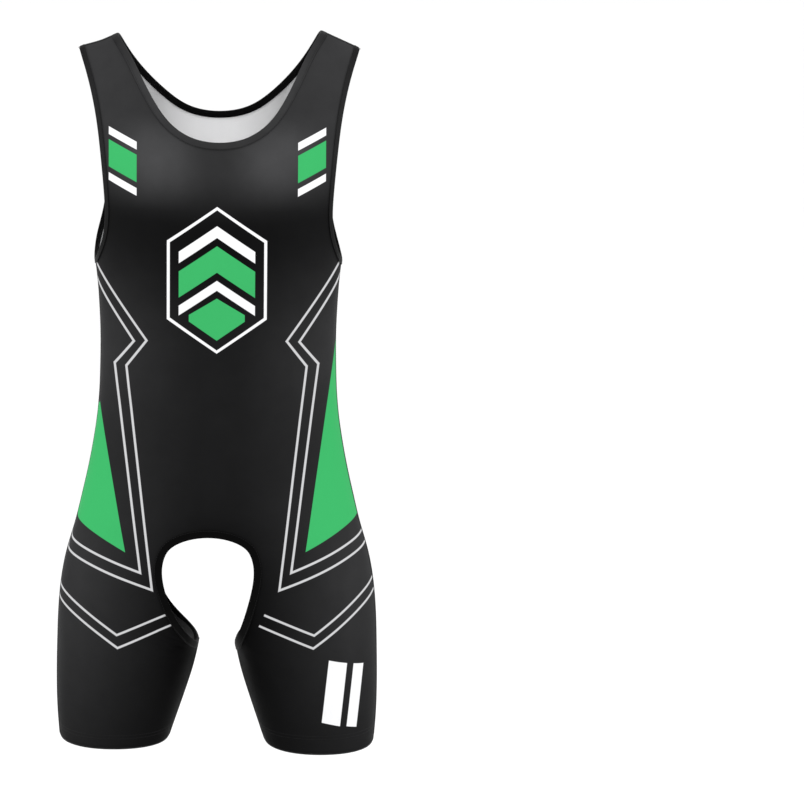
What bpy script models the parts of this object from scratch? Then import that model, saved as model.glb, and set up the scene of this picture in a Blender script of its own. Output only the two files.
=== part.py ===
"""A sleeveless one-piece wrestling suit, filled out as worn, with an open crotch and seat.

The suit hangs from the wearer's shoulders. Its front faces -Y, the wearer's left is +X and +Z is up.
The origin lies midway between the two shoulder seams. Lengths are in metres; the tables are in millimetres.
"""

import bpy
import numpy as np

MM = 0.001

# Cloth and trim
CLOTH = 1.5 * MM
SEAM_GAP = 0.3 * MM
TRIM_CLOTH = 0.9 * MM
TRIM_ROUND = 0.45

# How far the folded trim reaches onto the panel. Each panel has a row of points there.
TRIM_WIDTH = {"neck": 7.5 * MM, "armhole": 6.5 * MM, "arch": 8.8 * MM}

# Shoulder seams: a straight slope from the neck side outwards
SHOULDER_NECK_X = 121 * MM
SHOULDER_NECK_Z = 10 * MM
SHOULDER_SLOPE = 0.453

# Where each panel starts to roll over the shoulder, and how round the roll is
ROLL = {
    "front": {"start": -235 * MM, "power": 1.9},
    "back": {"start": -205 * MM, "power": 2.3},
}

HEM_Z = -853 * MM

# The cloth of the front drifts to the wearer's right by the rows of DRIFT, fully so this far off the side seams
DRIFT_FULL = 70 * MM

# The wearer's right leg rides up by this much, and the left one drops by as much
LEG_RISE = 3.2 * MM

# The right strap lies lower than the left one by this much on the shoulder
STRAP_DROP = 4.2 * MM

# The right armhole stands away from the body at its lower back
GAPE = 6 * MM
GAPE_REACH = 36 * MM
GAPE_AT = np.array([-139, 45, -232]) * MM
GAPE_TOWARDS = np.array([-0.93, 0.37, 0])

# Quads across half a panel, and along each stretch of its edges
ACROSS = 10
NECK_STEPS = 9
ARMHOLE_STEPS = 15
CENTRE_STEPS = 20
ARCH_STEPS = 11
LEG_STEPS = 5

# A bend of one radian earns a line as many points as this length does
BEND_WORTH = 60 * MM

# Side seam height level with the top of the crotch arch
ARCH_SIDE_Z = -532 * MM

BLACK = (0.022, 0.022, 0.024, 1)
BINDING_BLACK = (0.012, 0.012, 0.013, 1)


def table(names, *rows):
    """A table with named columns, as a dictionary of arrays from the lowest row up."""
    ordered = sorted(rows)
    return {name: np.array([row[i] for row in ordered], float) for i, name in enumerate(names.split())}


# The side outline seen from the front
OUTLINE = table(
    "z half_width",
    (40, 206),
    (-30, 186),
    (-110, 168),
    (-190, 155),
    (-240, 149),
    (-264, 146.3),
    (-285, 143.8),
    (-310, 142),
    (-360, 140),
    (-415, 141),
    (-450, 143.5),
    (-485, 148.5),
    (-520, 155),
    (-555, 163),
    (-585, 170),
    (-613, 178.5),
    (-635, 184),
    (-665, 188.6),
    (-700, 191.3),
    (-738, 192.4),
    (-778, 193),
    (-812, 192.6),
    (-838, 191),
    (-870, 188),
)

# The outline seen from the side: how far each panel stands off the side seam's plane
SIDE_VIEW = table(
    "z front back seam_y",
    (40, 106, 110, 0),
    (-190, 106, 112, 0),
    (-262, 103, 108, 0),
    (-340, 95, 97, 0),
    (-420, 92, 91, 0),
    (-490, 94, 101, 1),
    (-560, 98, 114, 3),
    (-620, 99, 116, 4),
    (-680, 96, 107, 4),
    (-740, 90, 95, 3),
    (-800, 82, 84, 1),
    (-870, 74, 75, 0),
)

# How the one torso section turns into a section for each leg
LEGS = table(
    "z centre_x inner_x",
    (40, 0, -60),
    (-500, 0, -60),
    (-560, 30, -60),
    (-610, 62, -60),
    (-640, 76, -30),
    (-665, 86, 0),
    (-700, 97, 14),
    (-734.5, 106, 22.5),
    (-757, 109.5, 26.8),
    (-781, 113, 33.8),
    (-805, 117, 41.5),
    (-830, 120.5, 50),
    (-870, 126, 63),
)

# How far the front's cloth lies off its even place, as worn
DRIFT = table(
    "z shift_x",
    (40, 0),
    (-320, 0),
    (-560, -11.4),
    (-620, -11.4),
    (-660, -11),
    (-690, -9),
    (-720, -5),
    (-760, -1),
    (-870, 0),
)

# Roundness of each section: 2 is an ellipse, and more is squarer
ROUNDNESS = table(
    "z outer inner",
    (40, 2.4, 12),
    (-610, 2.4, 12),
    (-665, 2.35, 5),
    (-700, 2.3, 3.2),
    (-738, 2.25, 2.4),
    (-800, 2.2, 2.2),
    (-870, 2.15, 2.15),
)

# Cut edges seen from the front or the back, from the shoulder or the centre line down
EDGES = {
    "front_neck": table(
        "z x",
        (10, 121),
        (-5, 108),
        (-25, 97),
        (-45.6, 87),
        (-65.4, 76.3),
        (-84.3, 63),
        (-98, 46.5),
        (-106.8, 27),
        (-110, 0),
    ),
    "back_neck": table(
        "z x",
        (10, 121),
        (-14, 111),
        (-36, 99),
        (-52.5, 87),
        (-67.5, 75),
        (-79, 63),
        (-94, 45),
        (-103.5, 21),
        (-105.5, 0),
    ),
    "armhole": table(
        "z x",
        (-9.9, 165),
        (-30, 157.3),
        (-57.6, 149.5),
        (-89.3, 143.3),
        (-126.6, 138.9),
        (-174, 134.5),
        (-203, 133),
        (-229, 136),
        (-250, 142),
        (-264, 146.3),
    ),
    "front_arch": table(
        "z x",
        (-582.5, 0),
        (-585, 21),
        (-590.5, 37),
        (-599, 48.5),
        (-610, 54.3),
        (-624, 56.8),
        (-641, 55.5),
        (-660, 50.3),
        (-680, 44.5),
        (-704, 34.5),
        (-734.5, 22.5),
    ),
    "back_arch": table(
        "z x",
        (-564, 0),
        (-566.5, 26),
        (-573, 47),
        (-583, 62),
        (-597, 73),
        (-614, 79),
        (-634, 80.5),
        (-655, 78.5),
        (-676, 76),
        (-696, 70),
        (-714, 58),
        (-727, 40),
        (-734.5, 22.5),
    ),
}


class Profile:
    """A smooth curve through two columns of a table that never overshoots its rows. Takes and gives metres."""

    def __init__(self, rows, column, unit=MM):
        self.at = rows["z"] * MM
        self.value = rows[column] * unit
        rise = np.diff(self.value) / np.diff(self.at)
        self.slope = np.zeros_like(self.value)
        self.slope[0], self.slope[-1] = rise[0], rise[-1]
        for i in range(1, len(rise)):
            if rise[i - 1] * rise[i] > 0:
                self.slope[i] = 2 * rise[i - 1] * rise[i] / (rise[i - 1] + rise[i])

    def __call__(self, z):
        z = np.clip(z, self.at[0], self.at[-1])
        i = np.clip(np.searchsorted(self.at, z) - 1, 0, len(self.at) - 2)
        gap = self.at[i + 1] - self.at[i]
        t = (z - self.at[i]) / gap
        rising = t * t * (3 - 2 * t)
        bend = t * (1 - t) ** 2 * self.slope[i] - t * t * (1 - t) * self.slope[i + 1]
        return self.value[i] * (1 - rising) + self.value[i + 1] * rising + gap * bend


half_width = Profile(OUTLINE, "half_width")
stand_off = {"front": Profile(SIDE_VIEW, "front"), "back": Profile(SIDE_VIEW, "back")}
seam_y = Profile(SIDE_VIEW, "seam_y")
drift = Profile(DRIFT, "shift_x")
leg_centre = Profile(LEGS, "centre_x")
leg_inner = Profile(LEGS, "inner_x")
outer_power = Profile(ROUNDNESS, "outer", 1)
inner_power = Profile(ROUNDNESS, "inner", 1)
FACING = {"front": -1, "back": 1}


def shoulder_z(x):
    return SHOULDER_NECK_Z + SHOULDER_SLOPE * (SHOULDER_NECK_X - x)


def roll_share(x, z, side):
    """0 where the roll over the shoulder starts, 1 on the shoulder seam."""
    start = ROLL[side]["start"]
    return np.maximum(z - start, 0) / (shoulder_z(x) - start)


def section_shares(x, z):
    """How far a point lies from the section's centre towards its outer and its inner edge."""
    centre = leg_centre(z)
    outward = np.maximum(x - centre, 0) / (half_width(z) - centre)
    inward = np.maximum(centre - x, 0) / np.maximum(centre - leg_inner(z), 1e-6)
    return outward, inward


def depth(x, z, side):
    """Distance of the cloth from the plane of the side seams."""
    outward, inward = section_shares(x, z)
    outer, inner = outer_power(z), inner_power(z)
    round_out = (1 - np.minimum(outward, 1) ** outer) ** (1 / outer)
    round_in = (1 - np.minimum(inward, 1) ** inner) ** (1 / inner)
    power = ROLL[side]["power"]
    roll = (1 - np.minimum(roll_share(x, z, side), 1) ** power) ** (1 / power)
    return stand_off[side](z) * round_out * round_in * roll


def on_cloth(x, z, side):
    """Points of the cloth's middle surface from their place in the front view."""
    y = seam_y(z) + FACING[side] * (depth(x, z, side) + SEAM_GAP / 2)
    return np.stack([x, y, z], -1)


def level(points, side):
    """A value that is 1 on the cloth and grows outwards."""
    x, y, z = points[..., 0], points[..., 1], points[..., 2]
    away = np.abs(y - seam_y(z)) / stand_off[side](z)
    outward, inward = section_shares(x, z)
    outer, inner = outer_power(z), inner_power(z)
    sideways = outward**outer + inward**inner
    low = sideways + away ** np.where(x > leg_centre(z), outer, inner)
    power = ROLL[side]["power"]
    flat = (1 - np.minimum(outward, 0.97) ** outer) ** (1 / outer)
    high = (away / flat) ** power + roll_share(x, z, side) ** power
    return np.where(z > ROLL[side]["start"], high, low)


def steepest(points, side):
    """How fast the level grows along each axis: never across the seam plane on a seam, or off the centre line."""
    step = 0.02 * MM
    middle = off_gap(points, side)
    found = np.zeros_like(middle)
    for axis in range(3):
        shift = np.zeros(3)
        shift[axis] = step
        found[..., axis] = (level(middle + shift, side) - level(middle - shift, side)) / (2 * step)
    on_seam = np.abs(middle[..., 1] - seam_y(middle[..., 2])) < 0.01 * MM
    found[..., 1] = np.where(on_seam, 0, found[..., 1])
    found[..., 0] = np.where(np.abs(middle[..., 0]) < 0.01 * MM, 0, found[..., 0])
    return found


def off_gap(points, side):
    return points - np.array([0, FACING[side] * SEAM_GAP / 2, 0])


def normals(points, side):
    """Outward directions of the cloth."""
    found = steepest(points, side)
    return found / np.linalg.norm(found, axis=-1, keepdims=True)


def lengths_along(points):
    return np.concatenate([[0], np.cumsum(np.linalg.norm(np.diff(points, axis=0), axis=1))])


def spread(points, steps):
    """The same line as fewer points, closer together where it bends."""
    runs = np.diff(points, axis=0)
    length = np.linalg.norm(runs, axis=1)
    heading = runs / length[:, None]
    turns = np.linalg.norm(np.diff(heading, axis=0), axis=1)
    bend = np.concatenate([[0], turns / 2]) + np.concatenate([turns / 2, [0]])
    worth = np.concatenate([[0], np.cumsum(length + BEND_WORTH * bend)])
    even = np.linspace(0, worth[-1], steps + 1)
    return np.stack([np.interp(even, worth, points[:, i]) for i in range(points.shape[1])], -1)


def curve_through(knots, values, slope, t):
    """A smooth curve through every value."""
    i = np.clip(np.searchsorted(knots, t) - 1, 0, len(knots) - 2)
    gap = knots[i + 1] - knots[i]
    s = (t - knots[i]) / gap
    rising = s * s * (3 - 2 * s)
    bend = s * (1 - s) ** 2 * slope[i] - s * s * (1 - s) * slope[i + 1]
    return values[i] * (1 - rising) + values[i + 1] * rising + gap * bend


def cut_edge(name, side, steps):
    """Points along a cut edge, on the cloth, from its top down. It starts on the shoulder seam or the centre line."""
    rows = EDGES[name]
    x, z = rows["x"][::-1] * MM, rows["z"][::-1] * MM
    if x[0] > 0:
        z[0] = shoulder_z(x[0])
    knots = lengths_along(np.stack([x, z], -1))
    slope_x, slope_z = np.gradient(x, knots), np.gradient(z, knots)
    slope_z[x == 0] = 0
    t = (1 - np.cos(np.linspace(0, np.pi, 1500))) / 2 * knots[-1]
    x, z = curve_through(knots, x, slope_x, t), curve_through(knots, z, slope_z, t)
    return spread(on_cloth(x, z, side), steps)


def settle(points, side):
    """Moves points that lie near the cloth onto it."""
    for _ in range(6):
        slope = steepest(points, side)
        off = level(off_gap(points, side), side) - 1
        points = points - slope * (off / (slope**2).sum(-1))[..., None]
    return points


def border_beside(edge, side, width):
    """The points beside a cut edge, on the panel. The width is negative when the panel is on the +X side."""
    across = np.cross(normals(edge, side), np.gradient(edge, axis=0))
    across[np.abs(edge[:, 0]) < 0.01 * MM, 0] = 0
    on_seam = np.abs(off_gap(edge, side)[:, 1] - seam_y(edge[:, 2])) < 0.01 * MM
    across[on_seam, 1] = 0
    across *= FACING[side] / np.linalg.norm(across, axis=1, keepdims=True)
    return settle(edge + width * across, side)


def row_between(inner, outer, side):
    """One row of a panel, straight in the front view, from its inner to its outer end."""
    share = (1 - np.cos(np.linspace(0, np.pi, 400))) / 2
    x = inner[0] + (outer[0] - inner[0]) * share
    z = inner[2] + (outer[2] - inner[2]) * share
    line = on_cloth(x, z, side)
    line[0], line[-1] = inner, outer
    return spread(line, ACROSS)


def seam_points(edge_x, top, bottom, steps, side):
    """Points down a side seam or an inseam."""
    z = np.linspace(top, bottom, steps + 1)
    y = seam_y(z) + FACING[side] * SEAM_GAP / 2
    return np.stack([edge_x(z), y, z], -1)


def half_panel(side):
    """The +X half of a panel: its rows from the shoulder to the hem, and its three bound edges."""
    neck = cut_edge(side + "_neck", side, NECK_STEPS)
    armhole = cut_edge("armhole", side, ARMHOLE_STEPS)
    arch = cut_edge(side + "_arch", side, ARCH_STEPS)
    neck_border = border_beside(neck, side, -TRIM_WIDTH["neck"])
    armhole_border = border_beside(armhole, side, TRIM_WIDTH["armhole"])
    arch_border = border_beside(arch, side, -TRIM_WIDTH["arch"])
    centre_z = np.linspace(neck_border[-1, 2], arch_border[0, 2], CENTRE_STEPS + 1)
    centre = on_cloth(np.zeros_like(centre_z), centre_z, side)
    inseam = seam_points(leg_inner, arch_border[-1, 2], HEM_Z, LEG_STEPS, side)
    rows_to_arch = NECK_STEPS + CENTRE_STEPS - ARMHOLE_STEPS
    side_top = seam_points(half_width, armhole_border[-1, 2], ARCH_SIDE_Z, rows_to_arch, side)
    side_arch = seam_points(half_width, ARCH_SIDE_Z, arch_border[-1, 2], ARCH_STEPS, side)
    side_leg = seam_points(half_width, arch_border[-1, 2], HEM_Z, LEG_STEPS, side)
    inner = np.concatenate([neck_border[:-1], centre[:-1], arch_border[:-1], inseam])
    outer = np.concatenate([armhole_border[:-1], side_top[:-1], side_arch[:-1], side_leg])
    rows = np.array([row_between(a, b, side) for a, b in zip(inner, outer)])
    return {
        "side": side,
        "rows": rows,
        "neck": (neck, rows[: NECK_STEPS + 1, 0]),
        "armhole": (armhole, rows[: ARMHOLE_STEPS + 1, -1]),
        "arch": (arch, rows[NECK_STEPS + CENTRE_STEPS : -LEG_STEPS, 0]),
    }


def strip_faces(first, second):
    return [(first[k], first[k + 1], second[k + 1], second[k]) for k in range(len(first) - 1)]


def border_faces(edge, beside, turned):
    """Triangles whose slanted sides leave the cut edge at their upper end, as the trim's do."""
    faces = []
    for k in range(len(edge) - 1):
        faces += [(edge[k], edge[k + 1], beside[k + 1]), (edge[k], beside[k + 1], beside[k])]
    return [face[::-1] for face in faces] if turned else faces


def panel_sheet(half):
    """Points and faces of a whole panel's middle surface, from its +X half and that half's mirror image."""
    side = half["side"]
    grid = half["rows"]
    count = grid.shape[0] * grid.shape[1]
    points = [grid.reshape(-1, 3)]
    index = np.arange(count).reshape(grid.shape[:2])
    faces = []
    for upper, lower in zip(index[:-1], index[1:]):
        faces += strip_faces(upper, lower)
    arch_top = NECK_STEPS + CENTRE_STEPS
    beside = {
        "neck": index[: NECK_STEPS + 1, 0],
        "armhole": index[: ARMHOLE_STEPS + 1, -1],
        "arch": index[arch_top : arch_top + ARCH_STEPS + 1, 0],
    }
    for name, inner in beside.items():
        edge = half[name][0]
        faces += border_faces(np.arange(count, count + len(edge)), inner, name != "armhole")
        points.append(edge)
        count += len(edge)
    points = np.concatenate(points)
    facing = normals(points, side)
    mirror = np.array([-1, 1, 1])
    on_centre = np.abs(points[:, 0]) < 0.001 * MM
    other = np.where(on_centre, np.arange(count), 0)
    other[~on_centre] = count + np.arange((~on_centre).sum())
    mirrored = [tuple(other[i] for i in reversed(face)) for face in faces]
    points = np.concatenate([points, points[~on_centre] * mirror])
    facing = np.concatenate([facing, facing[~on_centre] * mirror])
    return points, facing, faces + mirrored


def wall(sheet, thickness):
    """A closed wall of even thickness round a sheet's middle surface."""
    points, facing, faces = sheet
    count = len(points)
    solid_points = np.concatenate([points + facing * thickness / 2, points - facing * thickness / 2])
    edges = {(face[k], face[(k + 1) % len(face)]) for face in faces for k in range(len(face))}
    rims = [(a, b, b + count, a + count) for a, b in edges if (b, a) not in edges]
    inside = [tuple(i + count for i in reversed(face)) for face in faces]
    return solid_points, faces + inside + [tuple(reversed(rim)) for rim in rims]


# Corners of the trim's section that lie beside the bound edge, not at the arms' ends
EDGE_SIDE = (1, 2, 3, 4, 7, 8)


def trim_section(edge, beside, facing, facing_beside):
    """The folded strip's section at one point of a bound edge: two arms and a rounded fold."""
    into = (beside - edge) / np.linalg.norm(beside - edge)
    near = CLOTH / 2 + SEAM_GAP
    far = near + TRIM_CLOTH
    fold = edge - into * (SEAM_GAP + TRIM_CLOTH)
    groove = edge - into * SEAM_GAP
    return [
        beside + facing_beside * far,
        edge + facing * far,
        fold + facing * far * TRIM_ROUND,
        fold - facing * far * TRIM_ROUND,
        edge - facing * far,
        beside - facing_beside * far,
        beside - facing_beside * near,
        groove - facing * near,
        groove + facing * near,
        beside + facing_beside * near,
    ]


def bound_edge(half, name):
    """Sections of the strip round one half panel's edge, from the top of the edge down."""
    edge, beside = half[name]
    facing = normals(edge, half["side"])
    facing_beside = normals(beside, half["side"])
    return np.array([trim_section(*one) for one in zip(edge, beside, facing, facing_beside)])


def joined(first, second):
    """Two runs of sections joined where they meet, with the meeting sections averaged."""
    meeting = (first[-1] + second[0]) / 2
    return np.concatenate([first[:-1], meeting[None], second[1:]])


def ring_solid(sections):
    """A closed ring through the trim's sections, split into triangles the same way as the panels' borders."""
    turns, corners = sections.shape[:2]
    index = np.arange(turns * corners).reshape(turns, corners)
    height = sections[..., 2].mean(1)
    faces = []
    for i in range(turns):
        j = (i + 1) % turns
        falls = height[j] < height[i]
        for k in range(corners):
            m = (k + 1) % corners
            if falls == (k in EDGE_SIDE):
                faces += [(index[i, k], index[i, m], index[j, m]), (index[i, k], index[j, m], index[j, k])]
            else:
                faces += [(index[i, m], index[j, m], index[j, k]), (index[i, m], index[j, k], index[i, k])]
    return sections.reshape(-1, 3), faces


def mirrored_ring(sections):
    """The whole ring from the half that starts and ends on the centre line."""
    other = sections[-2:0:-1] * np.array([-1, 1, 1])
    return ring_solid(np.concatenate([sections, other]))


def cloth_material(name, colour, roughness):
    material = bpy.data.materials.new(name)
    material.use_nodes = True
    shader = material.node_tree.nodes["Principled BSDF"]
    shader.inputs["Base Color"].default_value = colour
    shader.inputs["Roughness"].default_value = roughness
    return material


def eased(share):
    share = np.clip(share, 0, 1)
    return share * share * (3 - 2 * share)


def as_worn(points):
    """Moves even points to where the cloth lies on the wearer."""
    x, y, z = points.T
    shift_x = drift(z) * eased(-y / DRIFT_FULL)
    rise = -LEG_RISE * np.sin(np.clip(x / (110 * MM), -1, 1) * np.pi / 2) * eased((-600 * MM - z) / (150 * MM))
    on_strap = eased((z + 80 * MM) / (80 * MM)) * eased((x + 170 * MM) / (35 * MM)) * (x < 0)
    away = np.linalg.norm(points - GAPE_AT, axis=1) / GAPE_REACH
    gape = GAPE * np.exp(-(away**2))[:, None] * GAPE_TOWARDS
    return points + gape + np.stack([shift_x, np.zeros_like(x), rise - STRAP_DROP * on_strap], -1)


def add_object(name, shape, material, collection):
    """A named, smooth-shaded object from points and faces, with its faces turned outwards."""
    points, faces = as_worn(shape[0]), shape[1]
    mesh = bpy.data.meshes.new(name)
    mesh.from_pydata([tuple(p) for p in points], [], [tuple(int(i) for i in f) for f in faces])
    fans = [(f[0], f[k], f[k + 1]) for f in faces for k in range(1, len(f) - 1)]
    corners = points[np.array(fans)]
    if np.einsum("ij,ij->i", corners[:, 0], np.cross(corners[:, 1], corners[:, 2])).sum() < 0:
        mesh.flip_normals()
    mesh.materials.append(material)
    mesh.shade_smooth()
    mesh.set_sharp_from_angle(angle=np.radians(50))
    made = bpy.data.objects.new(name, mesh)
    collection.objects.link(made)
    return made


def main():
    for old in list(bpy.data.objects):
        bpy.data.objects.remove(old)
    suit = bpy.data.collections.new("wrestling_suit")
    bpy.context.scene.collection.children.link(suit)
    knit = cloth_material("stretch_knit", BLACK, 0.62)
    trim = cloth_material("binding", BINDING_BLACK, 0.55)

    front, back = half_panel("front"), half_panel("back")
    add_object("front_panel", wall(panel_sheet(front), CLOTH), knit, suit)
    add_object("back_panel", wall(panel_sheet(back), CLOTH), knit, suit)

    neck = joined(bound_edge(front, "neck")[::-1], bound_edge(back, "neck"))
    add_object("neck_binding", mirrored_ring(neck), trim, suit)

    arch = joined(bound_edge(front, "arch"), bound_edge(back, "arch")[::-1])
    add_object("crotch_binding", mirrored_ring(arch), trim, suit)

    down, up = bound_edge(front, "armhole"), bound_edge(back, "armhole")[::-1]
    armhole = joined(down, up)
    armhole[0] = (down[0] + up[-1]) / 2
    for name, mirror in (("left", 1), ("right", -1)):
        ring = armhole[:-1] * np.array([mirror, 1, 1])
        add_object("armhole_binding_" + name, ring_solid(ring), trim, suit)


main()
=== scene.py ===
"""A wrestling suit in black stretch knit with printed bars and pin lines, filled out as worn."""

import math

import bmesh
import bpy
import numpy as np
from mathutils import Matrix, Vector
from mathutils.bvhtree import BVHTree
from mathutils.kdtree import KDTree


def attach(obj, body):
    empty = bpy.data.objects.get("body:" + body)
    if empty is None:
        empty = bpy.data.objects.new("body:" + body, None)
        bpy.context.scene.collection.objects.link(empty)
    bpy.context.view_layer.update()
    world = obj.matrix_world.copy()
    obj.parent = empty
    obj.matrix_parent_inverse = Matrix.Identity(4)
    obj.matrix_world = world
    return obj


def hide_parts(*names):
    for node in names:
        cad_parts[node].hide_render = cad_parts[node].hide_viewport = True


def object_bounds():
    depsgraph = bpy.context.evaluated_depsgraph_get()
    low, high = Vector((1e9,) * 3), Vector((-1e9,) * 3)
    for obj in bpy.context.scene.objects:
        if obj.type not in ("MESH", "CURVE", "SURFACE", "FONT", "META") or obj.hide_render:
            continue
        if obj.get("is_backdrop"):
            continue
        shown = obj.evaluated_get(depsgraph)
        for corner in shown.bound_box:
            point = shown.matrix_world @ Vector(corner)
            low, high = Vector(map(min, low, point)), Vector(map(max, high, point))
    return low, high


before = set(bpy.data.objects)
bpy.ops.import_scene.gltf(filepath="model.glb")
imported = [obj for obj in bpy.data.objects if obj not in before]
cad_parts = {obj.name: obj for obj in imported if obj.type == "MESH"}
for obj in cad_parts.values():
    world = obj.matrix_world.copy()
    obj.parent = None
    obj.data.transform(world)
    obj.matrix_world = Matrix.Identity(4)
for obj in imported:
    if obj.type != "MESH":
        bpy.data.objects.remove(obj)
solid_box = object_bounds()
bpy.ops.object.select_all(action="DESELECT")


# Camera
# The suit is seen from the front, from far off and a little above, so its sides run nearly parallel.
# It fills the left half of the picture at 1.2 mm a pixel, and the camera leans by 0.6 degrees.
PICTURE = 804
PIXEL = 0.0012
EYE_DISTANCE = 7.5
LOOK_DOWN = math.radians(12)
LEAN = math.radians(0.6)
WAIST = Vector((0, 0, -0.43))
MIDDLE_BESIDE_WAIST = 183.9 * PIXEL
MIDDLE_BELOW_WAIST = 7 * PIXEL
SENSOR = 36

level_right = Vector((1, 0, 0))
to_eye = Vector((0, -math.cos(LOOK_DOWN), math.sin(LOOK_DOWN)))
eye = WAIST + to_eye * EYE_DISTANCE
picture_middle = WAIST + level_right * MIDDLE_BESIDE_WAIST - to_eye.cross(level_right) * MIDDLE_BELOW_WAIST
forward = (picture_middle - eye).normalized()
level_right = forward.cross(Vector((0, 0, 1))).normalized()
level_up = level_right.cross(forward)
right = level_right * math.cos(LEAN) + level_up * math.sin(LEAN)
up = level_up * math.cos(LEAN) - level_right * math.sin(LEAN)

bpy.ops.object.camera_add()
camera = bpy.context.object
camera.matrix_world = Matrix.Translation(eye) @ Matrix((right, up, -forward)).transposed().to_4x4()
camera.data.sensor_width = SENSOR
camera.data.lens = SENSOR * EYE_DISTANCE / PIXEL / PICTURE
camera.data.clip_end = 100
bpy.context.scene.camera = camera


# Studio
# A plain pale floor well below the suit, a bright room and large soft lamps.
# The overhead lamp lights the shoulders and one lamp on each side lights the suit's sides; the paler
# shoulders, chest and sides of the black cloth are mostly painted highlight in its colour.
FLOOR_Z = -1.3
ROOM_LIGHT = 1.05


class Wire:
    """One output of a material's nodes. A sum written on wires adds the Math nodes that work it out."""

    def __init__(self, tree, socket):
        self.tree, self.socket = tree, socket

    def made(self, kind, sockets, out=0, **settings):
        """An output of a new node. Its settings come first, then its sockets' values or wires."""
        node = self.tree.nodes.new(kind)
        for name, value in settings.items():
            setattr(node, name, value)
        for key, value in sockets.items():
            if isinstance(value, Wire):
                self.tree.links.new(value.socket, node.inputs[key])
            else:
                node.inputs[key].default_value = value
        return Wire(self.tree, node.outputs[out])

    def math(self, operation, *values, **settings):
        return self.made("ShaderNodeMath", dict(enumerate(values)), operation=operation, **settings)

    def __add__(self, other):
        return self.math("ADD", self, other)

    def __sub__(self, other):
        return self.math("SUBTRACT", self, other)

    def __rsub__(self, other):
        return self.math("SUBTRACT", other, self)

    def __mul__(self, other):
        return self.math("MULTIPLY", self, other)

    def __truediv__(self, other):
        return self.math("DIVIDE", self, other)

    def __abs__(self):
        return self.math("ABSOLUTE", self)

    __radd__, __rmul__ = __add__, __mul__

    def times_plus(self, factor, extra, clamp=False):
        return self.math("MULTIPLY_ADD", self, factor, extra, use_clamp=clamp)

    def scaled(self, factor):
        return self.made("ShaderNodeVectorMath", {0: self, 3: factor}, operation="SCALE")

    def recoloured(self, colour, share):
        """This colour turned into another one by a share from 0 to 1."""
        return self.made(
            "ShaderNodeMix", {0: share, 6: self, 7: colour}, out=2, data_type="RGBA", clamp_factor=True
        )

    def between(self, colour, other):
        """The colour between two others, by this share from 0 to 1."""
        return self.made("ShaderNodeMix", {0: self, 6: colour, 7: other}, out=2, data_type="RGBA")


def new_material(name, **constants):
    """A material, the wire of its places and its shader, on which what is the same all over is set."""
    material = bpy.data.materials.new(name)
    material.use_nodes = True
    shader = material.node_tree.nodes["Principled BSDF"]
    for socket, value in constants.items():
        shader.inputs[socket.replace("_", " ")].default_value = value
    place = material.node_tree.nodes.new("ShaderNodeTexCoord")
    return material, Wire(material.node_tree, place.outputs["Object"]), shader


def link(wire, shader, socket):
    wire.tree.links.new(wire.socket, shader.inputs[socket])


def dent(height, strength, distance):
    """A surface whose small hollows and rises follow a height from 0 to 1."""
    return height.made("ShaderNodeBump", {"Strength": strength, "Distance": distance, "Height": height})


floor_paint, place, shader = new_material("floor_paint", Roughness=0.85, Specular_IOR_Level=0.2)
mottling = place.made("ShaderNodeTexNoise", {"Vector": place, "Scale": 1.3, "Detail": 3.0})
link(mottling.between((0.95, 0.95, 0.95, 1), (0.97, 0.97, 0.97, 1)), shader, "Base Color")
link(dent(mottling, 0.1, 0.002), shader, "Normal")

bpy.ops.mesh.primitive_plane_add(size=60, location=(0, 12, FLOOR_Z))
floor = bpy.context.object
floor.name = "floor"
floor.data.materials.append(floor_paint)
floor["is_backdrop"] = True

room = bpy.data.worlds.new("bright_room")
room.use_nodes = True
background = room.node_tree.nodes["Background"]
background.inputs["Color"].default_value = (1, 1, 1, 1)
background.inputs["Strength"].default_value = ROOM_LIGHT
bpy.context.scene.world = room
bpy.context.scene.view_settings.view_transform = "Standard"

for lamp, spot, size, watts in (
    ("overhead_lamp", (0, -1.1, 1.7), 1.2, 16),
    ("left_lamp", (-2.4, -0.6, 0.4), 1.2, 9),
    ("right_lamp", (2.4, -0.6, 0.4), 1.2, 9),
):
    bpy.ops.object.light_add(type="AREA", location=spot)
    light = bpy.context.object
    light.name = lamp
    light.data.shape = "DISK"
    light.data.size = size
    light.data.energy = watts
    light.rotation_euler = (WAIST - Vector(spot)).to_track_quat("-Z", "Y").to_euler()
bpy.ops.object.select_all(action="DESELECT")


# Front and back panels
# Each is one piece of warp-knit stretch cloth, printed on its outer face only, so its inside stays pale grey.
# The cloth lies on the body's form with soft, low folds at the chest, waist, hips, crotch and hems.
CLOTH = 0.0008
SOLID_WALL = 0.0015
MIDDLE_LINE_X = -0.002
FOLD_DEPTH = 1.35
FLAT_BORDER = 0.009
BORDER_EASE = 0.022

# The cloth is smoothed most by the ends of the crotch opening, given here with the signs left off.
NOTCH = np.array([0.03, 0.015, 0.75])
NOTCH_REACH = 0.06

KNIT_PITCH = 0.0011
PRINT_EDGE = 0.0005
LINE = 0.0027
WHITE = (0.88, 0.88, 0.89, 1)
GREEN = (0.046, 0.43, 0.13, 1)
LINE_GREY = (0.57, 0.57, 0.58, 1)
UNPRINTED = (0.96, 0.96, 0.965, 1)
UNPRINTED_LOW = (0.9, 0.9, 0.91, 1)
# Near-black painted shade for the inside round each end of the crotch opening.
CROTCH_SHADE_BLACK = (0.003, 0.003, 0.003, 1)
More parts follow.
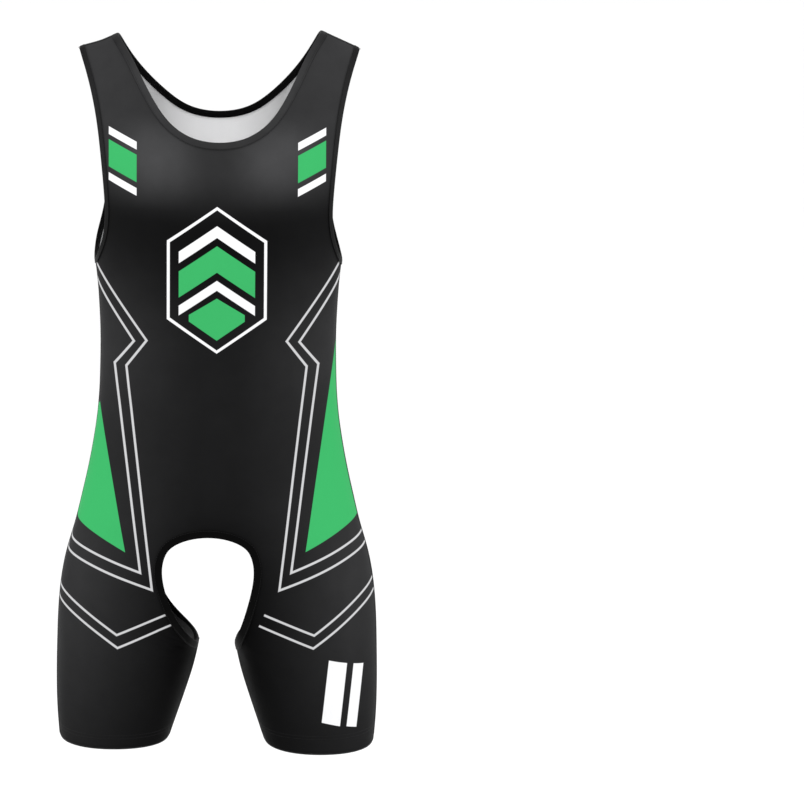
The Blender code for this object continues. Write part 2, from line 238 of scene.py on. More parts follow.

# Painted light: paler black where light falls on the shoulders, chest and sides, darker on the inner legs.
# How pale the black is by height in millimetres, in a few broad steps: at the middle, at the
# sides and in a soft patch on each side of the chest.
MIDDLE_PAINTED_SHADING = ((-640, 0.001), (-550, 0.009), (-350, 0.011), (-205, 0.006), (-146, 0.026), (20, 0.023))
SIDE_PAINTED_SHADING = (
    (-860, 0.013), (-640, 0.03), (-470, 0.025), (-350, 0.036), (-205, 0.009), (-146, 0.03), (20, 0.036)
)
CHEST_PAINTED_HIGHLIGHT = ((-190, 0.0), (-145, 0.024), (-110, 0.024), (-75, 0.0))
SIDE_LIGHT_STARTS = 0.022
SIDE_LIGHT_PER_METRE = 7.2
HIGHLIGHT_PATCH_MIDDLE = 0.072
HIGHLIGHT_PATCH_REACH = 0.066


def smooth_patches(shell):
    """The faces of a shell in groups that no sharp edge crosses, the largest group first."""
    limit, left, patches = math.radians(65), set(shell.faces), []
    while left:
        patch, waiting = [], [left.pop()]
        while waiting:
            face = waiting.pop()
            patch.append(face)
            for edge in face.edges:
                if len(edge.link_faces) == 2 and edge.calc_face_angle() < limit:
                    beside = [other for other in edge.link_faces if other in left]
                    left.difference_update(beside)
                    waiting.extend(beside)
        patches.append(patch)
    return sorted(patches, key=lambda patch: -sum(face.calc_area() for face in patch))


def merged_copy(node):
    """A node's surface in one piece."""
    shell = bmesh.new()
    shell.from_mesh(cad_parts[node].data)
    bmesh.ops.remove_doubles(shell, verts=shell.verts, dist=1e-5)
    return shell


def with_quads(shell):
    """The same shell, with a quad in place of each two triangles that make one."""
    flat, square = math.radians(40), math.radians(75)
    bmesh.ops.join_triangles(
        shell, faces=shell.faces, angle_face_threshold=flat, angle_shape_threshold=square
    )
    return shell


def finished(shell, name):
    mesh = bpy.data.meshes.new(name)
    shell.to_mesh(mesh)
    shell.free()
    piece = bpy.data.objects.new(name, mesh)
    bpy.context.collection.objects.link(piece)
    mesh.shade_smooth()
    return piece


def apply(piece, kind, **settings):
    """Adds a modifier, sets it up and applies it."""
    modifier = piece.modifiers.new(kind.title(), kind)
    for name, value in settings.items():
        setattr(modifier, name, value)
    bpy.context.view_layer.objects.active = piece
    bpy.ops.object.modifier_apply(modifier=modifier.name)


def numbers(items, field):
    """A vector of each vertex, as the rows of an array."""
    found = np.empty(len(items) * 3)
    items.foreach_get(field, found)
    return found.reshape(-1, 3)


def off_border(mesh):
    """How far each point of an open sheet is from the sheet's border."""
    shell = bmesh.new()
    shell.from_mesh(mesh)
    border = [vertex.co.copy() for vertex in shell.verts if vertex.is_boundary]
    nearest = KDTree(len(border))
    for i, co in enumerate(border):
        nearest.insert(co, i)
    nearest.balance()
    away = np.array([nearest.find(vertex.co)[2] for vertex in shell.verts])
    shell.free()
    return away


def fold(points, path, width, height):
    """How far a soft fold lifts each point. Its path is in millimetres across and up."""
    path = np.array(path, float) / 1000
    stretches = np.linalg.norm(np.diff(path, axis=0), axis=1)
    begins = np.concatenate([[0], np.cumsum(stretches)])
    nearest, along = np.full(len(points), 1e9), np.zeros(len(points))
    for a, b, begin, stretch in zip(path, path[1:], begins, stretches):
        share = np.clip((points[:, [0, 2]] - a) @ (b - a) / stretch**2, 0, 1)
        away = np.linalg.norm(points[:, [0, 2]] - (a + share[:, None] * (b - a)), axis=1)
        closer = away < nearest
        nearest = np.where(closer, away, nearest)
        along = np.where(closer, (begin + share * stretch) / begins[-1], along)
    swell = np.sin(np.pi * np.clip(along * 0.9 + 0.05, 0, 1))
    swell *= 1 + 0.25 * np.sin(9 * along + path[0, 0] * 60)
    widening = width / 1000 * (0.8 + 0.4 * along)
    return height / 1000 * swell * np.exp(-((nearest / widening) ** 2))


def eased(share):
    """A share from 0 to 1 that starts and ends gently."""
    return share * share * (3 - 2 * share)


def lay_cloth_map(mesh):
    """A map in metres: how far round the body or leg a point lies from the middle line, and how high."""
    body_wide, body_deep, leg_wide, leg_x = 0.15, 0.095, 0.085, 0.106
    legs_start, legs_ease, girth_wide = -0.585, 0.15, 0.14
    points = numbers(mesh.vertices, "co")
    low = np.clip((legs_start - points[:, 2]) / legs_ease, 0, 1)
    centre = np.sign(points[:, 0]) * leg_x * eased(low)
    wide = body_wide - (body_wide - leg_wide) * low
    turn = np.arctan2((points[:, 0] - centre) / wide, np.maximum(np.abs(points[:, 1]) / body_deep, 1e-6))
    angles = np.linspace(-np.pi / 2, np.pi / 2, 91)
    step = np.hypot(np.cos(angles) * girth_wide, np.sin(angles) * body_deep)
    lengths = np.concatenate([[0], np.cumsum((step[1:] + step[:-1]) / 2 * (angles[1] - angles[0]))])
    round_it = np.interp(turn, angles, lengths - lengths[len(angles) // 2]) + centre
    corners = np.empty(len(mesh.loops), int)
    mesh.loops.foreach_get("vertex_index", corners)
    cloth_map = mesh.uv_layers.new(name="cloth")
    cloth_map.data.foreach_set("uv", np.stack([round_it, points[:, 2]], -1)[corners].ravel())


def knit(place):
    """The height of a fine knit from 0 to 1: upright rows of small V-shaped stitches."""
    cloth_map = Wire(place.tree, place.tree.nodes.new("ShaderNodeUVMap").outputs[0])
    cloth_map.socket.node.uv_map = "cloth"
    flat = place.made("ShaderNodeSeparateXYZ", {0: cloth_map})
    across, along = flat, Wire(place.tree, flat.socket.node.outputs[1])
    rows = across / KNIT_PITCH
    off_middle = abs(rows.math("FRACT", rows) - 0.5) * 2
    turn = along * (2 * math.pi / KNIT_PITCH) + off_middle * 3.1
    return (1 - off_middle * off_middle) * 0.6 + turn.math("SINE", turn) * 0.2 + 0.2


def inside(across, up_it, corners):
    """1 inside a plain convex shape with these corners, in millimetres, and 0 outside."""
    corners = [Vector(corner) / 1000 for corner in corners]
    turn = sum(a.x * b.y - a.y * b.x for a, b in zip(corners, corners[1:] + corners[:1]))
    mask = None
    for a, b in zip(corners, corners[1:] + corners[:1]):
        along = (b - a).normalized() * (1 if turn > 0 else -1)
        per_metre = 1 / PRINT_EDGE
        share = across.times_plus(
            -along.y * per_metre,
            up_it.times_plus(along.x * per_metre, (along.y * a.x - along.x * a.y) * per_metre + 0.5),
            clamp=True,
        )
        mask = share if mask is None else mask.math("MINIMUM", mask, share)
    return mask


def ramp(height, stops):
    """A grey that changes with height, from stops of a height in millimetres and a brightness."""
    low, high = stops[0][0] / 1000, stops[-1][0] / 1000
    share = height.times_plus(1 / (high - low), -low / (high - low), clamp=True)
    node = share.tree.nodes.new("ShaderNodeValToRGB")
    node.color_ramp.interpolation = "CARDINAL"
    while len(node.color_ramp.elements) < len(stops):
        node.color_ramp.elements.new(0.5)
    for element, (at, grey) in zip(node.color_ramp.elements, stops):
        element.position = (at / 1000 - low) / (high - low)
        element.color = (grey, grey, grey * 1.03, 1)
    share.tree.links.new(share.socket, node.inputs[0])
    return Wire(share.tree, node.outputs[0])


def either(masks):
    """1 wherever one of the masks is 1."""
    first, *others = masks
    for mask in others:
        first = first.math("ADD", first, mask, use_clamp=True)
    return first


def pin_line(across, up_it, points):
    """A printed line through points in millimetres, with mitred bends."""
    sharpest = 0.35
    points = [Vector(point) for point in points]
    half = LINE * 1000 / 2
    ways = [(b - a).normalized() for a, b in zip(points, points[1:])]
    sides = []
    for i in range(len(points)):
        before, after = ways[max(i - 1, 0)], ways[min(i, len(ways) - 1)]
        square = Vector((-before.y - after.y, before.x + after.x)).normalized()
        reach = half / max(square.dot(Vector((-after.y, after.x))), sharpest)
        sides.append((points[i] + square * reach, points[i] - square * reach))
    return either([inside(across, up_it, (a[0], b[0], b[1], a[1])) for a, b in zip(sides, sides[1:])])


def slanted_bar(across, up_it, inner, outer, rise, top, thick):
    """A bar between two distances from the middle line. Rise is how steeply it climbs outwards."""
    climb = (outer - inner) * rise
    corners = ((inner, top), (outer, top + climb), (outer, top + climb - thick), (inner, top - thick))
    return inside(across, up_it, corners)


def printed_cloth(name, print_it):
    """Black knit with a print, which gets two wires and gives back pairs of a colour and a mask."""
    material, place, shader = new_material(
        name, Sheen_Weight=0.006, Sheen_Roughness=0.4, Specular_IOR_Level=0.005
    )
    split = place.made("ShaderNodeSeparateXYZ", {0: place})
    across, up_it = split - MIDDLE_LINE_X, Wire(place.tree, split.socket.node.outputs[2])
    stitches = knit(place)
    mottling = place.made(
        "ShaderNodeTexNoise", {"Vector": place, "Scale": 38.0, "Detail": 4.0, "Roughness": 0.6}
    )
    # Painted light: the black turns paler towards the sides and in a painted highlight patch on each side of
    # the chest.
    side_light_share = (abs(across) - SIDE_LIGHT_STARTS).times_plus(SIDE_LIGHT_PER_METRE, 0, clamp=True)
    off_highlight = (abs(across) - HIGHLIGHT_PATCH_MIDDLE) / HIGHLIGHT_PATCH_REACH
    patch = off_highlight.math("MAXIMUM", 1 - off_highlight * off_highlight, 0)
    side_light_share = side_light_share.math("POWER", side_light_share, 1.25)
    colour = ramp(up_it, MIDDLE_PAINTED_SHADING).recoloured(ramp(up_it, SIDE_PAINTED_SHADING), side_light_share)
    chest_highlight = {0: ramp(up_it, CHEST_PAINTED_HIGHLIGHT), 1: patch * patch, 2: colour}
    colour = colour.made("ShaderNodeVectorMath", chest_highlight, operation="MULTIPLY_ADD")
    colour = colour.scaled(0.85 + mottling * 0.3)
    for ink, mask in print_it(across, up_it):
        colour = colour.recoloured(ink, mask)
    # Painted shade in the hollows between the knit's stitches.
    colour = colour.recoloured((0.0, 0.0, 0.0, 1), (1 - stitches) * 0.16)
    link(colour, shader, "Base Color")
    link(0.5 + mottling * 0.14 - stitches * 0.06, shader, "Roughness")
    link(dent(stitches, 0.35, 0.0002), shader, "Normal")
    return material


def front_print(across, up_it):
    """Pin lines, bars on the straps, a hexagon with chevrons, side wedges and two blocks on one thigh."""
    badge_z = -0.272
    side = abs(across)
    badge_up = up_it - badge_z
    thin = [
        pin_line(side, up_it, ((165, -255), (98, -350), (121, -380), (90, -628), (192, -590))),
        pin_line(side, up_it, ((160, -243), (83, -348), (107, -381), (76, -649), (196, -604))),
        pin_line(side, up_it, ((200, -646), (118, -706), (58, -680))),
        pin_line(side, up_it, ((200, -662), (117, -722), (52, -694))),
    ]
    white = [
        slanted_bar(side, up_it, 95, 128, 0.47, -110, 9),
        slanted_bar(side, up_it, 95, 128, 0.47, -164, 9),
        inside(side, badge_up, ((-4, 69), (-4, 55), (45, 21), (45, 35))),
        inside(side, badge_up, ((-4, 3), (-4, -9), (45, -43), (45, -31))),
        inside(across, up_it, ((136, -738), (158, -744), (150, -822), (128, -816))),
        inside(across, up_it, ((166, -746), (178, -749), (170, -826), (158, -823))),
    ]
    badge = ((-5, 89), (0, 89), (59, 48), (59, -48), (0, -89), (-5, -89))
    badge_inside = ((-5, 85.2), (0, 85.2), (55.6, 46), (55.6, -46), (0, -85.2), (-5, -85.2))
    outline = inside(side, badge_up, badge) * (1 - inside(side, badge_up, badge_inside))
    green = [
        slanted_bar(side, up_it, 95, 128, 0.47, -125, 32),
        inside(side, badge_up, ((-4, 45), (-4, 13), (45, -21), (45, 11))),
        inside(side, badge_up, ((-4, -19), (33, -42), (33, -50), (-4, -76))),
        inside(across, up_it, ((-139, -434), (-108, -604), (-190, -560))),
        inside(across, up_it, ((143, -356), (107, -604), (190, -566), (190, -356))),
    ]
    return ((LINE_GREY, either(thin)), (WHITE, either([*white, outline])), (GREEN, either(green)))


def back_print(across, up_it):
    """Pin lines across the waist and down the legs, and bars on the straps."""
    side = abs(across)
    thin = [
        pin_line(side, up_it, ((160, -318), (52, -402), (-6, -358))),
        pin_line(side, up_it, ((160, -336), (52, -420), (-6, -376))),
        pin_line(side, up_it, ((166, -470), (104, -528), (118, -700), (150, -870))),
        pin_line(side, up_it, ((172, -488), (116, -540), (131, -700), (163, -870))),
    ]
    white = [
        slanted_bar(side, up_it, 95, 140, -0.5, -44, 9),
        slanted_bar(side, up_it, 74, 136, -0.5, -90, 9),
    ]
    green = [slanted_bar(side, up_it, 85, 138, -0.5, -55, 30)]
    return ((LINE_GREY, either(thin)), (WHITE, either(white)), (GREEN, either(green)))


plain_inside, place, shader = new_material(
    "unprinted_inside", Sheen_Weight=0.2, Sheen_Roughness=0.5, Specular_IOR_Level=0.3
)
stitches = knit(place)
mottling = place.made("ShaderNodeTexNoise", {"Vector": place, "Scale": 30.0, "Detail": 3.0})
split = place.made("ShaderNodeSeparateXYZ", {0: place})
# Painted shade: the inside darkens towards the suit's sides.
shade = split.math("MINIMUM", split * split * 85, 0.48)
colour = mottling.between(UNPRINTED_LOW, UNPRINTED).scaled(1 - shade)
# Painted shade in the hollows between the knit's stitches.
colour = colour.recoloured((0.5, 0.5, 0.51, 1), (1 - stitches) * 0.25)

# Painted shade: the inside is near-black round each end of the crotch opening. Its reach is in millimetres.
CROTCH_END = (0.04, 0.0, 0.73)
CROTCH_SHADE_REACH = 36
mirrored = place.made("ShaderNodeVectorMath", {0: place}, operation="ABSOLUTE")
seen_flat = place.made("ShaderNodeVectorMath", {0: mirrored, 1: (1.0, 0.0, 1.0)}, operation="MULTIPLY")
off_end = place.made("ShaderNodeVectorMath", {0: seen_flat, 1: CROTCH_END}, out=1, operation="DISTANCE")
crotch_shade = off_end.times_plus(-1000, CROTCH_SHADE_REACH, clamp=True)
link(colour.recoloured(CROTCH_SHADE_BLACK, crotch_shade), shader, "Base Color")
link(0.6 + mottling * 0.15, shader, "Roughness")
link(dent(stitches, 0.3, 0.0002), shader, "Normal")

# Each fold has a path across and up, a width and a height, all in millimetres. FOLD_DEPTH deepens them all.
FOLDS = {
    "front_panel": (
        (((-136, -392), (-96, -412), (-58, -416)), 13, 1.3),
        (((-134, -424), (-90, -436), (-50, -432)), 11, -1.1),
        (((134, -380), (92, -402), (56, -400)), 13, 1.2),
        (((136, -432), (96, -446), (60, -438)), 12, -1.1),
        (((-64, -640), (-112, -600), (-160, -578)), 13, -1.6),
        (((-70, -668), (-122, -640), (-172, -628)), 12, 1.3),
        (((54, -640), (106, -612), (160, -596)), 13, -1.5),
        (((62, -672), (116, -652), (172, -640)), 12, 1.3),
        (((-58, -556), (-6, -546), (46, -558)), 12, -1.2),
        (((-128, -282), (-92, -292), (-52, -284)), 13, 1.2),
        (((124, -276), (88, -290), (48, -280)), 12, 1.2),
        (((-66, -118), (-46, -158), (-34, -206)), 14, 1.0),
        (((62, -116), (44, -160), (30, -210)), 13, 1.0),
        (((-180, -716), (-136, -730), (-84, -722)), 13, 1.1),
        (((64, -786), (112, -800), (166, -790)), 12, 1.1),
    ),
    "back_panel": (
        (((-134, -386), (-92, -404), (-46, -402)), 13, 1.4),
        (((132, -396), (88, -414), (44, -408)), 13, 1.3),
        (((-130, -438), (-84, -446), (-34, -438)), 12, -1.3),
        (((134, -446), (92, -456), (40, -446)), 12, -1.2),
        (((-92, -630), (-128, -606), (-166, -596)), 13, -1.5),
        (((92, -632), (130, -612), (166, -602)), 13, -1.5),
        (((-84, -694), (-124, -686), (-170, -694)), 12, 1.3),
        (((84, -698), (126, -688), (172, -692)), 12, 1.3),
        (((-50, -538), (-4, -528), (44, -540)), 12, -1.2),
        (((-120, -264), (-82, -276), (-42, -268)), 13, 1.2),
        (((120, -262), (84, -276), (42, -270)), 13, 1.2),
        (((-72, -112), (-52, -158), (-40, -206)), 14, 1.0),
        (((70, -112), (52, -156), (38, -208)), 14, 1.0),
        (((-176, -770), (-130, -784), (-82, -776)), 12, 1.1),
        (((80, -776), (126, -788), (176, -774)), 12, 1.1),
    ),
}

panels = {}
for node, print_it in (("front_panel", front_print), ("back_panel", back_print)):
    shell = merged_copy(node)
    outer = set(smooth_patches(shell)[0])
    bmesh.ops.delete(shell, geom=[face for face in shell.faces if face not in outer], context="FACES")
    panel = finished(with_quads(shell), node.replace("panel", "cloth"))
    apply(panel, "SUBSURF", levels=2, render_levels=2, boundary_smooth="PRESERVE_CORNERS")
    by_notch = panel.vertex_groups.new(name="by_notch")
    off_notch = np.linalg.norm(np.abs(numbers(panel.data.vertices, "co")) - NOTCH, axis=1)
    for i, away in enumerate(off_notch):
        by_notch.add([i], math.exp(-((away / NOTCH_REACH) ** 2)), "REPLACE")
    even = {"factor": 0.5, "use_only_smooth": True, "use_pin_boundary": True}
    apply(panel, "CORRECTIVE_SMOOTH", iterations=60, vertex_group="by_notch", **even)
    apply(panel, "CORRECTIVE_SMOOTH", iterations=10, **even)
    points = numbers(panel.data.vertices, "co")
    normals = numbers(panel.data.vertex_normals, "vector")
    lift = FOLD_DEPTH * sum(fold(points, *one) for one in FOLDS[node])
    lift *= eased(np.clip((off_border(panel.data) - FLAT_BORDER) / BORDER_EASE, 0, 1))
    lift -= (SOLID_WALL - CLOTH) / 2
    panel.data.vertices.foreach_set("co", (points + normals * lift[:, None]).ravel())
    lay_cloth_map(panel.data)
    panel.data.materials.append(printed_cloth(node.replace("panel", "print"), print_it))
    panel.data.materials.append(plain_inside)
    panels[node] = panel


def tree_of(piece):
    """A piece's surface, ready to be searched."""
    corners = [vertex.co.copy() for vertex in piece.data.vertices]
    return BVHTree.FromPolygons(corners, [tuple(face.vertices) for face in piece.data.polygons])


cloth_tree = {node: tree_of(panel) for node, panel in panels.items()}
borders = {}
for node, panel in panels.items():
    shell = bmesh.new()
    shell.from_mesh(panel.data)
    borders[node] = [(v.co.copy(), v.normal.copy()) for v in shell.verts if v.is_boundary]
    shell.free()
    apply(panel, "SOLIDIFY", thickness=CLOTH, offset=-1, material_offset=1, use_even_offset=True)
    panel.data.shade_smooth()
    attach(panel, "root")
    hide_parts(node)


# Bindings
# Strips of the same knit, folded over the cut edges of the neck, armholes and crotch and topstitched.
# They lie a little proud of the panels, and a row of stitches runs near each of their two edges.
# Painted light: the bindings are paler by the neck and shoulders and near-black lower down.
BINDING_PAINTED_SHADING = ((-560, 0.0), (-300, 0.006), (-230, 0.007), (-100, 0.026), (20, 0.03))
TO_FIRST_ROW = 0.24
PROUD = 0.0001
STITCH_PITCH = 0.0031
STITCH_LENGTH = 0.0023
THREAD = 0.0005
FINE_THREAD = 0.0004
DARK_STRAND = (0.004, 0.004, 0.004, 1)
PALE_STRAND = (0.012, 0.012, 0.013, 1)

binding_black, place, shader = new_material(
    "binding_knit", Sheen_Weight=0.015, Sheen_Roughness=0.4, Specular_IOR_Level=0.05
)
grain = place.made("ShaderNodeTexNoise", {"Vector": place, "Scale": 900.0, "Detail": 2.0})
mottling = place.made("ShaderNodeTexNoise", {"Vector": place, "Scale": 60.0, "Detail": 3.0})
split = place.made("ShaderNodeSeparateXYZ", {0: place})
# Painted shade: the binding darkens towards the back, inside the suit, and towards the armholes.
front_light_share = Wire(place.tree, split.socket.node.outputs[1]).times_plus(-12, 0.3, clamp=True)
colour = ramp(Wire(place.tree, split.socket.node.outputs[2]), BINDING_PAINTED_SHADING)
armhole_shade_share = (abs(split) - 0.118).times_plus(45, 0, clamp=True)
mottling_and_painted_shade = (0.8 + mottling * 0.4) * (0.05 + front_light_share * 0.95) * (1 - armhole_shade_share * 0.45)
link(colour.scaled(mottling_and_painted_shade), shader, "Base Color")
link(0.5 + mottling * 0.2, shader, "Roughness")
link(dent(grain, 0.4, 0.0003), shader, "Normal")

thread_black, place, shader = new_material("black_thread", Specular_IOR_Level=0.15)
strands = place.made("ShaderNodeTexNoise", {"Vector": place, "Scale": 2400.0, "Detail": 1.0})
link(strands.between(DARK_STRAND, PALE_STRAND), shader, "Base Color")
link(0.38 + strands * 0.2, shader, "Roughness")
link(dent(strands, 0.5, 0.0001), shader, "Normal")

# One stitch, a unit long, wide and high, and lower towards its ends.
bpy.ops.mesh.primitive_uv_sphere_add(segments=6, ring_count=5, radius=0.5)
stitch_form = bpy.context.object
stitch_points = numbers(stitch_form.data.vertices, "co")[:, [2, 0, 1]]
stitch_points[:, 2] *= 1 - 0.4 * (2 * stitch_points[:, 0]) ** 2
stitch_faces = [tuple(face.vertices) for face in stitch_form.data.polygons]
bpy.data.objects.remove(stitch_form)


def evenly(path, normals, pitch, closed):
    """Points a pitch apart along a smooth curve through a path, with the way along and the normal at each."""
    steps, half_way = 12, 0.3
    count = len(path)
    if closed:
        before, after, later = np.roll(path, 1, 0), np.roll(path, -1, 0), np.roll(path, -2, 0)
        next_normals = np.roll(normals, -1, 0)
    else:
        before = np.concatenate([path[:1], path[:-2]])
        after, later = path[1:], np.concatenate([path[2:], path[-1:]])
        next_normals, path, normals, count = normals[1:], path[:-1], normals[:-1], count - 1
    share = np.linspace(0, 1, steps, endpoint=False)[None, :, None]
    p0, p1, p2, p3 = (points[:count, None] for points in (before, path, after, later))
    bend = 2 * p0 - 5 * p1 + 4 * p2 - p3 + share * (3 * (p1 - p2) + p3 - p0)
    fine = p1 + 0.5 * share * (p2 - p0 + share * bend)
    turned = normals[:count, None] * (1 - share) + next_normals[:count, None] * share
    fine, turned = fine.reshape(-1, 3), turned.reshape(-1, 3)
    if closed:
        fine, turned = np.concatenate([fine, fine[:1]]), np.concatenate([turned, turned[:1]])
    else:
        fine, turned = np.concatenate([fine, after[-1:]]), np.concatenate([turned, next_normals[-1:]])
    lengths = np.concatenate([[0], np.cumsum(np.linalg.norm(np.diff(fine, axis=0), axis=1))])
    stops = max(int(round(lengths[-1] / pitch)), 2)
    at = (np.arange(stops) + (0 if closed else 0.5)) * lengths[-1] / stops

    def picked(rows, along):
        return np.stack([np.interp(along, lengths, rows[:, i]) for i in range(3)], -1)

    middle, normal = picked(fine, at), picked(turned, at)
    way = picked(fine, np.minimum(at + pitch * half_way, lengths[-1]))
    way -= picked(fine, np.maximum(at - pitch * half_way, 0))
    way /= np.linalg.norm(way, axis=1)[:, None]
    normal -= way * (normal * way).sum(1)[:, None]
    normal /= np.linalg.norm(normal, axis=1)[:, None]
    return middle, way, normal


def sewn(name, rows, length, width, height):
    """One object with a small stitch at each place of some rows. A row is its middles, ways and normals."""
    points, faces = [], []
    for middle, way, normal in rows:
        side = np.cross(normal, way)
        for centre, *axes in zip(middle, way * length, side * width, normal * height):
            shift = len(points) * len(stitch_points)
            points.append(centre + stitch_points @ np.array(axes))
            faces += [tuple(i + shift for i in face) for face in stitch_faces]
    mesh = bpy.data.meshes.new(name)
    mesh.from_pydata(np.concatenate(points).tolist(), [], faces)
    mesh.materials.append(thread_black)
    row_piece = bpy.data.objects.new(name, mesh)
    bpy.context.collection.objects.link(row_piece)
    mesh.shade_smooth()
    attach(row_piece, "root")


def cut_edges(shell):
    """A binding's two edges: for each a closed row of points, the next points inwards, and normals."""
    apart = 0.003
    outer = set(smooth_patches(shell)[0])
    shell.edges.index_update()
    left = {edge for edge in shell.edges if sum(face in outer for face in edge.link_faces) == 1}
    ends = []
    while left:
        edge = min(left, key=lambda edge: edge.index)
        left.discard(edge)
        first, vertex = edge.verts
        row = [first, vertex]
        while True:
            ahead = next((e for e in vertex.link_edges if e in left), None)
            if ahead is None:
                break
            left.discard(ahead)
            vertex = ahead.other_vert(vertex)
            if vertex is first:
                break
            row.append(vertex)
        on_rim = set(row)
        spread = [row[0]]
        for vertex in row[1:]:
            if min((vertex.co - other.co).length for other in (spread[-1], row[0])) > apart:
                spread.append(vertex)
        inward, normals = [], []
        for vertex in spread:
            inner = [
                e.other_vert(vertex) for e in vertex.link_edges
                if all(face in outer for face in e.link_faces) and e.other_vert(vertex) not in on_rim
            ]
            inner = min(inner, key=lambda other: (other.co - vertex.co).length)
            inward.append(inner.co.copy())
            normals.append(sum((f.normal for f in vertex.link_faces if f in outer), Vector()).normalized())
        ends.append((np.array([v.co for v in spread]), np.array(inward), np.array(normals)))
    return ends


for node in ("neck_binding", "armhole_binding_left", "armhole_binding_right", "crotch_binding"):
    shell = with_quads(merged_copy(node))
    ends = cut_edges(shell)
    binding = finished(shell, node.replace("binding", "trim"))
    apply(binding, "SUBSURF", levels=2, render_levels=2)
    surface = tree_of(binding)
    rows = []
    for end, inward, normals in ends:
        middle, way, normal = evenly(end + (inward - end) * TO_FIRST_ROW, normals, STITCH_PITCH, closed=True)
        found = [surface.find_nearest(co)[:2] for co in middle]
        normal = np.array([n for _, n in found])
        way -= normal * (normal * way).sum(1)[:, None]
        rows.append((np.array([co for co, _ in found]) + normal * PROUD, way, normal))
    binding.data.materials.clear()
    binding.data.materials.append(binding_black)
    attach(binding, "root")
    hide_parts(node)
    sewn(node.replace("binding", "topstitch"), rows, STITCH_LENGTH, THREAD, THREAD)


# Seams
# The side, shoulder and inner leg seams are flat seams: the two edges meet and rows of thread cross them.
# The thread makes a low black band on both faces, a little under 5 mm wide.
SEAM_HALF_WIDTH = 0.0023
SEAM_HALF_HEIGHT = 0.0008
BAND_PITCH = 0.004
SEAM_ROW_ASIDE = 0.0016
SEAM_ROW_PITCH = 0.0026
CROSSING_PITCH = 0.0015
CROSSING_LENGTH = 0.0036
HALF_GAP = 0.00015
CROTCH_END_Z = -0.732
ARMHOLE_Z = -0.262
HEM_Z = -0.851


def band(name, path, normals, half_width, half_height, closed=False):
    """A low rounded band along a path, centred on it."""
    middle, way, normal = evenly(path, normals, BAND_PITCH, closed)
    side = np.cross(normal, way)
    around = 12
    angles = np.linspace(0, 2 * np.pi, around, endpoint=False)
    wide, high = half_width * np.cos(angles), half_height * np.sin(angles)
    rings = [m + wide[:, None] * s + high[:, None] * n for m, s, n in zip(middle, side, normal)]
    if not closed:
        for at, ahead in ((0, -1), (-1, 1)):
            tip = middle[at] + way[at] * half_height * ahead
            end = tip + (rings[at] - middle[at]) * 0.5
            rings = [end, *rings] if at == 0 else [*rings, end]
    count = len(rings)
    faces = []
    for i in range(count if closed else count - 1):
        j = (i + 1) % count
        for k in range(around):
            m = (k + 1) % around
            faces.append((i * around + k, i * around + m, j * around + m, j * around + k))
    if not closed:
        faces += [tuple(range(around))[::-1], tuple(range((count - 1) * around, count * around))]
    shell = bmesh.new()
    corners = [shell.verts.new(co) for co in np.concatenate(rings)]
    for face in faces:
        shell.faces.new([corners[i] for i in face])
    bmesh.ops.recalc_face_normals(shell, faces=shell.faces)
    piece = finished(shell, name)
    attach(piece, "root")
    piece.data.materials.append(thread_black)


def crossing(path, normals, reach, pitch):
    """Places for threads that lie across a path."""
    middle, way, normal = evenly(path, normals, pitch, closed=False)
    return middle + normal * reach, np.cross(normal, way), normal


def beside(path, normals, aside, reach, pitch, closed=False):
    """Places for a row of stitches beside a path."""
    middle, way, normal = evenly(path, normals, pitch, closed)
    return middle + np.cross(normal, way) * aside + normal * reach, way, normal


def in_a_row(chosen, key):
    """Border points in order, as arrays of places and normals at the middle of the cloth and the seam."""
    chosen = sorted(chosen, key=key)
    places = np.array([co for co, _ in chosen])
    normals = np.array([normal for _, normal in chosen])
    return places - normals * CLOTH / 2 + np.array([0, HALF_GAP, 0]), normals


def on_side(co):
    return abs(co.x) > 0.125 and HEM_Z < co.z < ARMHOLE_Z and abs(co.y) < 0.006


def on_inner_leg(co):
    return abs(co.x) < 0.085 and HEM_Z < co.z < CROTCH_END_Z and abs(co.y) < 0.006


def on_shoulder(co):
    return co.z > -0.02 and abs(co.y) < 0.003 and 0.115 < abs(co.x) < 0.17


def downwards(at):
    return -at[0].z


def outwards(at):
    return abs(at[0].x)


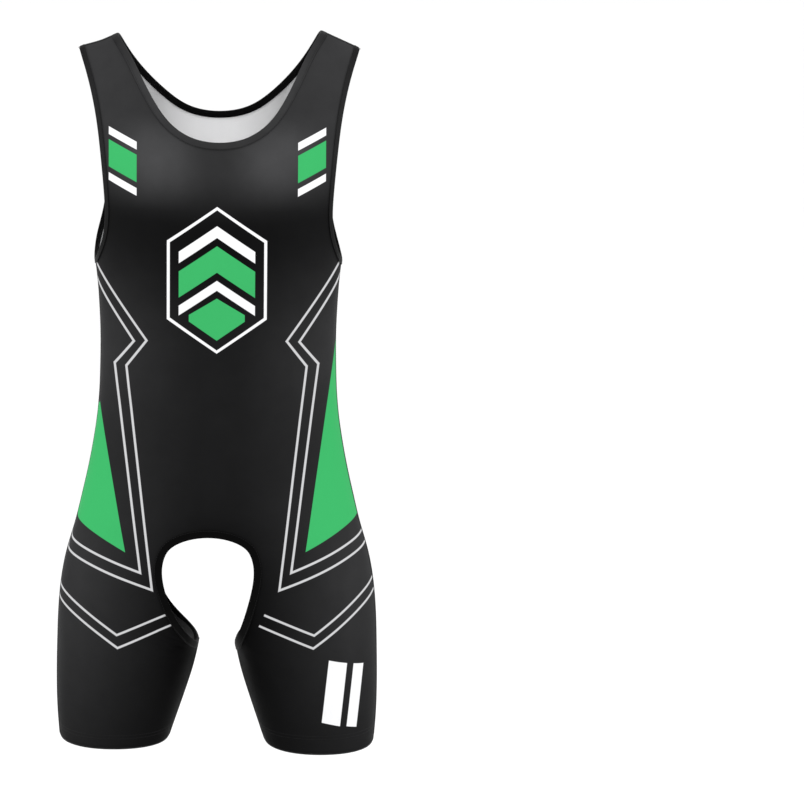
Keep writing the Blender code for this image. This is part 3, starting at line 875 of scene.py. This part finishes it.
for seam, holds, key in (
    ("side_seam", on_side, downwards),
    ("inner_leg_seam", on_inner_leg, downwards),
    ("shoulder_seam", on_shoulder, outwards),
):
    for hand, sign in (("left", 1), ("right", -1)):
        on_seam = [at for at in borders["front_panel"] if holds(at[0]) and at[0].x * sign > 0]
        path, normals = in_a_row(on_seam, key)
        band(f"{seam}_{hand}", path, normals, SEAM_HALF_WIDTH, SEAM_HALF_HEIGHT)
        rows = [
            crossing(path, normals, SEAM_HALF_HEIGHT - 0.0001, CROSSING_PITCH),
            beside(path, normals, SEAM_ROW_ASIDE, SEAM_HALF_HEIGHT - 0.0002, SEAM_ROW_PITCH),
            beside(path, normals, -SEAM_ROW_ASIDE, SEAM_HALF_HEIGHT - 0.0002, SEAM_ROW_PITCH),
        ]
        sewn(f"{seam}_thread_{hand}", rows, CROSSING_LENGTH, THREAD, FINE_THREAD)


# Hems
# The leg hems are turned up once and stitched, which leaves a rounded lower edge and two fine rows of thread.
# They have no elastic, so the cloth runs plain to its edge.
HEM_EDGE_FROM_Z = -0.845
HEM_ROWS_Z = (-0.8335, -0.8375)
HEM_PITCH = 0.0029
HEM_EDGE_WIDTH = 0.0011
HEM_EDGE_HEIGHT = 0.0007
LEG_MIDDLE_X = 0.119
TURNS = 72


def round_leg(centre):
    """The cloth's places and normals round a leg, at the height of a point inside it."""
    places, normals = [], []
    for turn in np.linspace(0, 2 * np.pi, TURNS, endpoint=False):
        way = Vector((math.cos(turn), math.sin(turn), 0))
        hits = [cloth_tree[node].ray_cast(centre, way)[:2] for node in panels]
        hits = [hit for hit in hits if hit[0] is not None]
        co, normal = min(hits, key=lambda hit: (hit[0] - centre).length)
        places.append(co)
        normals.append(normal if normal.dot(co - centre) > 0 else -normal)
    return np.array(places), np.array(normals)


for hand, sign in (("left", 1), ("right", -1)):
    edge = [
        at for node in panels for at in borders[node] if at[0].z < HEM_EDGE_FROM_Z and at[0].x * sign > 0
    ]
    edge.sort(key=lambda at: math.atan2(at[0].y, at[0].x - sign * LEG_MIDDLE_X))
    places = np.array([co for co, _ in edge])
    normals = np.array([normal for _, normal in edge])
    places -= normals * CLOTH / 2
    band(f"hem_edge_{hand}", places, normals, HEM_EDGE_WIDTH, HEM_EDGE_HEIGHT, closed=True)
    rows = []
    for height in HEM_ROWS_Z:
        found = round_leg(Vector((sign * LEG_MIDDLE_X, 0, height)))
        rows.append(beside(*found, 0, 0, HEM_PITCH, closed=True))
    sewn(f"hem_thread_{hand}", rows, STITCH_LENGTH, FINE_THREAD, FINE_THREAD)


size = {"cad": [list(corner) for corner in solid_box], "visual": [list(corner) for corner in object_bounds()]}
